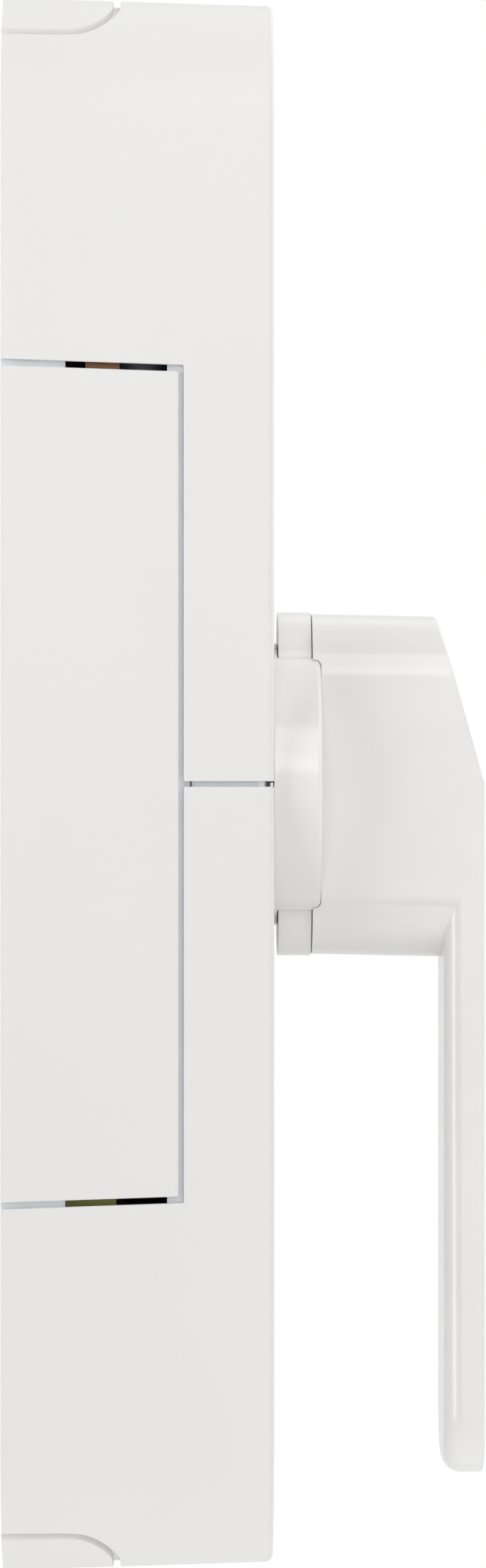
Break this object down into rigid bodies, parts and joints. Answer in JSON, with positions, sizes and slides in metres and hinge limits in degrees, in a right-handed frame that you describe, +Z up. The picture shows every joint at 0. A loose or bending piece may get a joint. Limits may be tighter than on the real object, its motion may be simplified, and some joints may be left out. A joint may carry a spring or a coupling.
{
  "type": "motorised window handle drive",
  "caption": "Slim upright housing that bolts to a window sash, with a motor and worm gear inside and a lever handle on a round collar in front.",
  "frame": {"origin": "where the handle spindle's axis meets the flat back plane of the housing", "axes": "+X across the width, -Y out of the front towards the user, +Z up; the back lies in the plane Y = 0"},
  "size_m": [0.064, 0.0914, 0.3],
  "materials": {
    "white_shell": "fine satin",
    "white_lacquer": "white satin powder coat",
    "steel": "zinc plated",
    "die_cast": "die cast, bare",
    "brass": "machined",
    "dark_plastic": "fine matt",
    "motor_paint": "satin",
    "board": "solder mask",
    "polyimide": "clear film",
    "cell_sleeve": "shrink sleeve",
    "nickel": "nickel plated",
    "clear": "frosted",
    "lead": "soft insulation",
    "magnet": "sintered"
  },
  "bodies": {
    "housing": {"base_housing": "white_shell", "battery_cell_left": "cell_sleeve", "battery_cell_right": "cell_sleeve", "battery_holder": "dark_plastic", "battery_lead": "lead", "battery_link_lower": "nickel", "battery_link_upper": "nickel", "battery_plug_socket": "clear", "board_ribbon": "polyimide", "buffer_capacitor": "cell_sleeve", "charge_board": "board", "charge_socket": "nickel", "collar_ring": "white_shell", "control_board": "board", "gear_case_front": "die_cast", "gear_case_rear": "die_cast", "gear_case_screw_1": "steel", "gear_case_screw_2": "steel", "gear_case_screw_3": "steel", "gear_case_screw_4": "steel", "hub_bush_front": "brass", "hub_bush_rear": "brass", "light_guide": "clear", "lower_cover": "white_shell", "microcontroller": "dark_plastic", "motor_can": "motor_paint", "motor_driver_chip": "dark_plastic", "motor_end_cap": "dark_plastic", "motor_gearhead": "die_cast", "motor_lead": "lead", "motor_strap": "steel", "motor_strap_screw": "steel", "mounting_plate": "steel", "plate_screw_1": "steel", "plate_screw_2": "steel", "plate_screw_3": "steel", "plate_screw_4": "steel", "position_sensor": "board", "push_switch": "dark_plastic", "radio_board": "board", "radio_shield": "nickel", "rosette": "white_lacquer", "rosette_screw_lower": "steel", "rosette_screw_upper": "steel", "status_led": "clear", "upper_cover": "white_shell", "worm_bearing_lower": "steel", "worm_bearing_upper": "steel"},
    "handle": {"lever_handle": "white_lacquer", "handle_spindle": "steel", "spindle_pin": "steel", "output_hub": "die_cast", "worm_wheel": "brass", "clutch_washer": "steel", "hub_circlip": "steel", "position_magnet": "magnet"},
    "worm": {"worm_shaft": "steel", "motor_shaft": "steel", "shaft_coupling": "brass"},
    "button": {"push_button": "white_shell"}
  },
  "joints": [
    {"name": "handle_turn", "type": "hinge", "parent": "housing", "child": "handle", "pos_m": [0, 0, 0], "axis": [0, -1, 0], "range_deg": [0, 180]},
    {"name": "worm_spin", "type": "hinge", "parent": "housing", "child": "worm", "pos_m": [-0.019, -0.026, 0], "axis": [0, 0, 1], "range_deg": [0, 5040]},
    {"name": "button_press", "type": "slide", "parent": "housing", "child": "button", "axis": [0, 1, 0], "range_m": [0, 0.0005], "stiffness_N_per_m": 1500, "springref_m": -0.0003}
  ],
  "couplings": [
    {"joint": "worm_spin", "follows": "handle_turn", "ratio": 28}
  ]
}
